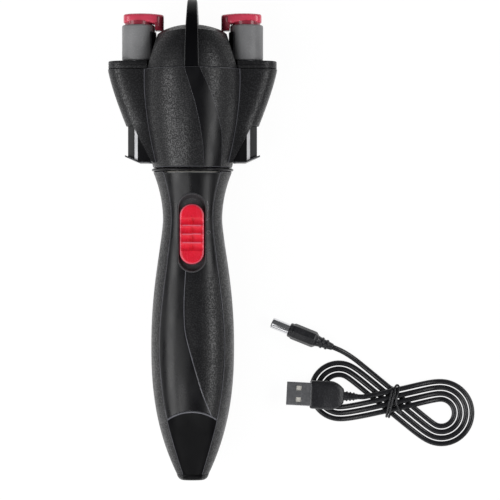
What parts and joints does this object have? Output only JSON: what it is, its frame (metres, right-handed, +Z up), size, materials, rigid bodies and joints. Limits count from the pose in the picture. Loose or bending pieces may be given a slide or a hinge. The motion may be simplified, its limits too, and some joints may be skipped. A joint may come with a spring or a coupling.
{
  "type": "automatic hair braider",
  "caption": "Cordless hair braider with a turning head, two clips with lifting red hooks, side levers, a separator fin, a sliding switch and a coiled charging lead.",
  "frame": {"origin": "under the middle of the braider, on the surface that it lies on", "axes": "+X right, +Y along the handle towards the head, +Z up, out of the side with the switch"},
  "size_m": [0.1857, 0.24, 0.0514],
  "materials": {
    "textured_black": "fine moulded grain",
    "gloss_black": "polished",
    "satin_black": "satin",
    "clip_grey": "satin gloss",
    "hook_red": "gloss",
    "switch_red": "satin gloss",
    "switch_grey": "fine moulded grain",
    "acetal": "moulded",
    "steel": "turned",
    "plated": "plated",
    "board_green": "solder mask",
    "cell_wrap": "shrink wrap",
    "lead_black": "soft satin sheath",
    "lead_plug": "moulded"
  },
  "bodies": {
    "handle": {"handle_rear_shell": "textured_black", "handle_front_panel": "gloss_black", "tail_scoop": "gloss_black", "tail_cap": "gloss_black", "collar_ring": "gloss_black", "switch_lining": "switch_grey", "switch_body": "satin_black", "neck_bushing": "acetal", "gearbox": "acetal", "gearbox_bracket": "satin_black", "motor": "steel", "motor_bracket": "satin_black", "battery_cell": "cell_wrap", "battery_holder": "satin_black", "circuit_board": "board_green", "charging_socket": "satin_black", "charging_lead": "lead_black", "lead_tie": "lead_black", "usb_plug_grip": "lead_plug", "usb_plug_shell": "plated", "usb_plug_relief": "lead_plug", "barrel_plug_grip": "lead_plug", "barrel_plug_tip": "plated"},
    "head": {"head_front_cover": "textured_black", "head_rear_cover": "textured_black", "left_pod": "textured_black", "right_pod": "textured_black", "left_lid": "satin_black", "right_lid": "satin_black", "top_dome": "satin_black", "separator_fin": "gloss_black", "front_band": "gloss_black", "rear_band": "gloss_black", "neck_spindle": "acetal", "retaining_ring": "steel", "gear_plate": "steel", "left_return_spring": "steel", "right_return_spring": "steel"},
    "drive": {"drive_shaft": "steel", "sun_gear": "acetal"},
    "left_post": {"left_clip_tube": "clip_grey", "left_clip_spindle": "steel", "left_clip_gear": "acetal"},
    "left_hook": {"left_hook": "hook_red"},
    "left_lever": {"left_lever": "gloss_black", "left_push_rod": "steel"},
    "right_post": {"right_clip_tube": "clip_grey", "right_clip_spindle": "steel", "right_clip_gear": "acetal"},
    "right_hook": {"right_hook": "hook_red"},
    "right_lever": {"right_lever": "gloss_black", "right_push_rod": "steel"},
    "switch": {"switch_slider": "switch_red"}
  },
  "joints": [
    {"name": "head_spin", "type": "hinge", "parent": "handle", "child": "head", "pos_m": [0, 0.036, 0.0257], "axis": [0, 1, 0], "continuous": true},
    {"name": "drive_spin", "type": "hinge", "parent": "head", "child": "drive", "pos_m": [0, 0.0795, 0.0257], "axis": [0, 1, 0], "continuous": true},
    {"name": "left_post_spin", "type": "hinge", "parent": "head", "child": "left_post", "pos_m": [-0.027, 0.0795, 0.0257], "axis": [0, 1, 0], "continuous": true},
    {"name": "right_post_spin", "type": "hinge", "parent": "head", "child": "right_post", "pos_m": [0.027, 0.0795, 0.0257], "axis": [0, 1, 0], "continuous": true},
    {"name": "left_lever_push", "type": "slide", "parent": "head", "child": "left_lever", "axis": [0, 1, 0], "range_m": [0, 0.006], "stiffness_N_per_m": 300, "springref_m": -0.004, "deforming": ["left_return_spring"]},
    {"name": "right_lever_push", "type": "slide", "parent": "head", "child": "right_lever", "axis": [0, 1, 0], "range_m": [0, 0.006], "stiffness_N_per_m": 300, "springref_m": -0.004, "deforming": ["right_return_spring"]},
    {"name": "left_hook_lift", "type": "slide", "parent": "left_post", "child": "left_hook", "axis": [0, 1, 0], "range_m": [0, 0.006]},
    {"name": "right_hook_lift", "type": "slide", "parent": "right_post", "child": "right_hook", "axis": [0, 1, 0], "range_m": [0, 0.006]},
    {"name": "switch_slide", "type": "slide", "parent": "handle", "child": "switch", "axis": [0, 1, 0], "range_m": [-0.003, 0.003]}
  ],
  "couplings": [
    {"joint": "left_post_spin", "follows": "drive_spin", "ratio": -2.8571},
    {"joint": "right_post_spin", "follows": "drive_spin", "ratio": -2.8571},
    {"joint": "left_hook_lift", "follows": "left_lever_push", "ratio": 1},
    {"joint": "right_hook_lift", "follows": "right_lever_push", "ratio": 1}
  ]
}
